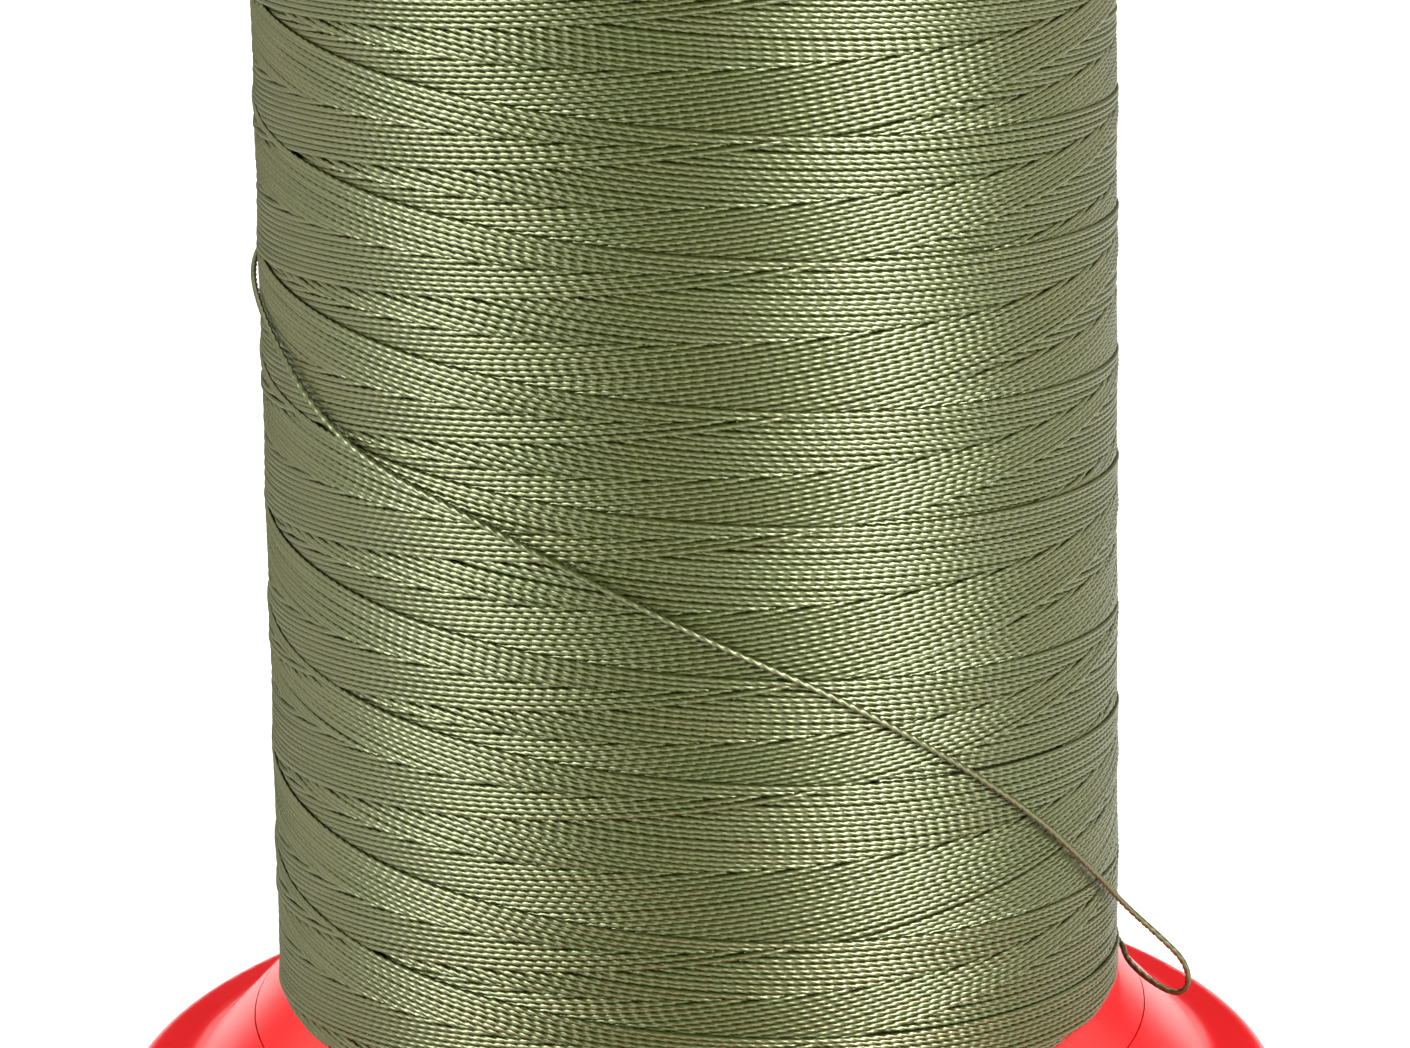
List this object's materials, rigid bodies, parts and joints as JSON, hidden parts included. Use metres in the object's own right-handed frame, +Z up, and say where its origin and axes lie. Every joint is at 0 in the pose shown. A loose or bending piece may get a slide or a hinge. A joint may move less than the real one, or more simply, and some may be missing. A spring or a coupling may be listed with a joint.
{
  "type": "spool of thread",
  "caption": "Foot spool of cross-wound sewing thread on a moulded tube with a conical flange and a flared foot that drops slightly to trap the thread end.",
  "frame": {"origin": "centre of the foot's rest plane, on the spool's axis", "axes": "+Z up along the axis of the tube, from the foot to the pin bore; -Y towards the side where the loose thread crosses"},
  "size_m": [0.0846, 0.0846, 0.115],
  "materials": {
    "tube_plastic": "glossy moulded polypropylene",
    "foot_plastic": "glossy moulded polypropylene",
    "thread": "twisted filament sewing thread with a silky sheen",
    "label_paper": "plain matt paper"
  },
  "bodies": {
    "foot": {"base_foot": "foot_plastic"},
    "spool": {"winding_tube": "tube_plastic", "thread_package": "thread", "end_label": "label_paper", "thread_tail": "thread"}
  },
  "joints": [
    {"name": "foot_snap", "type": "slide", "parent": "foot", "child": "spool", "axis": [0, 0, 1], "range_m": [0, 0.0025]}
  ]
}
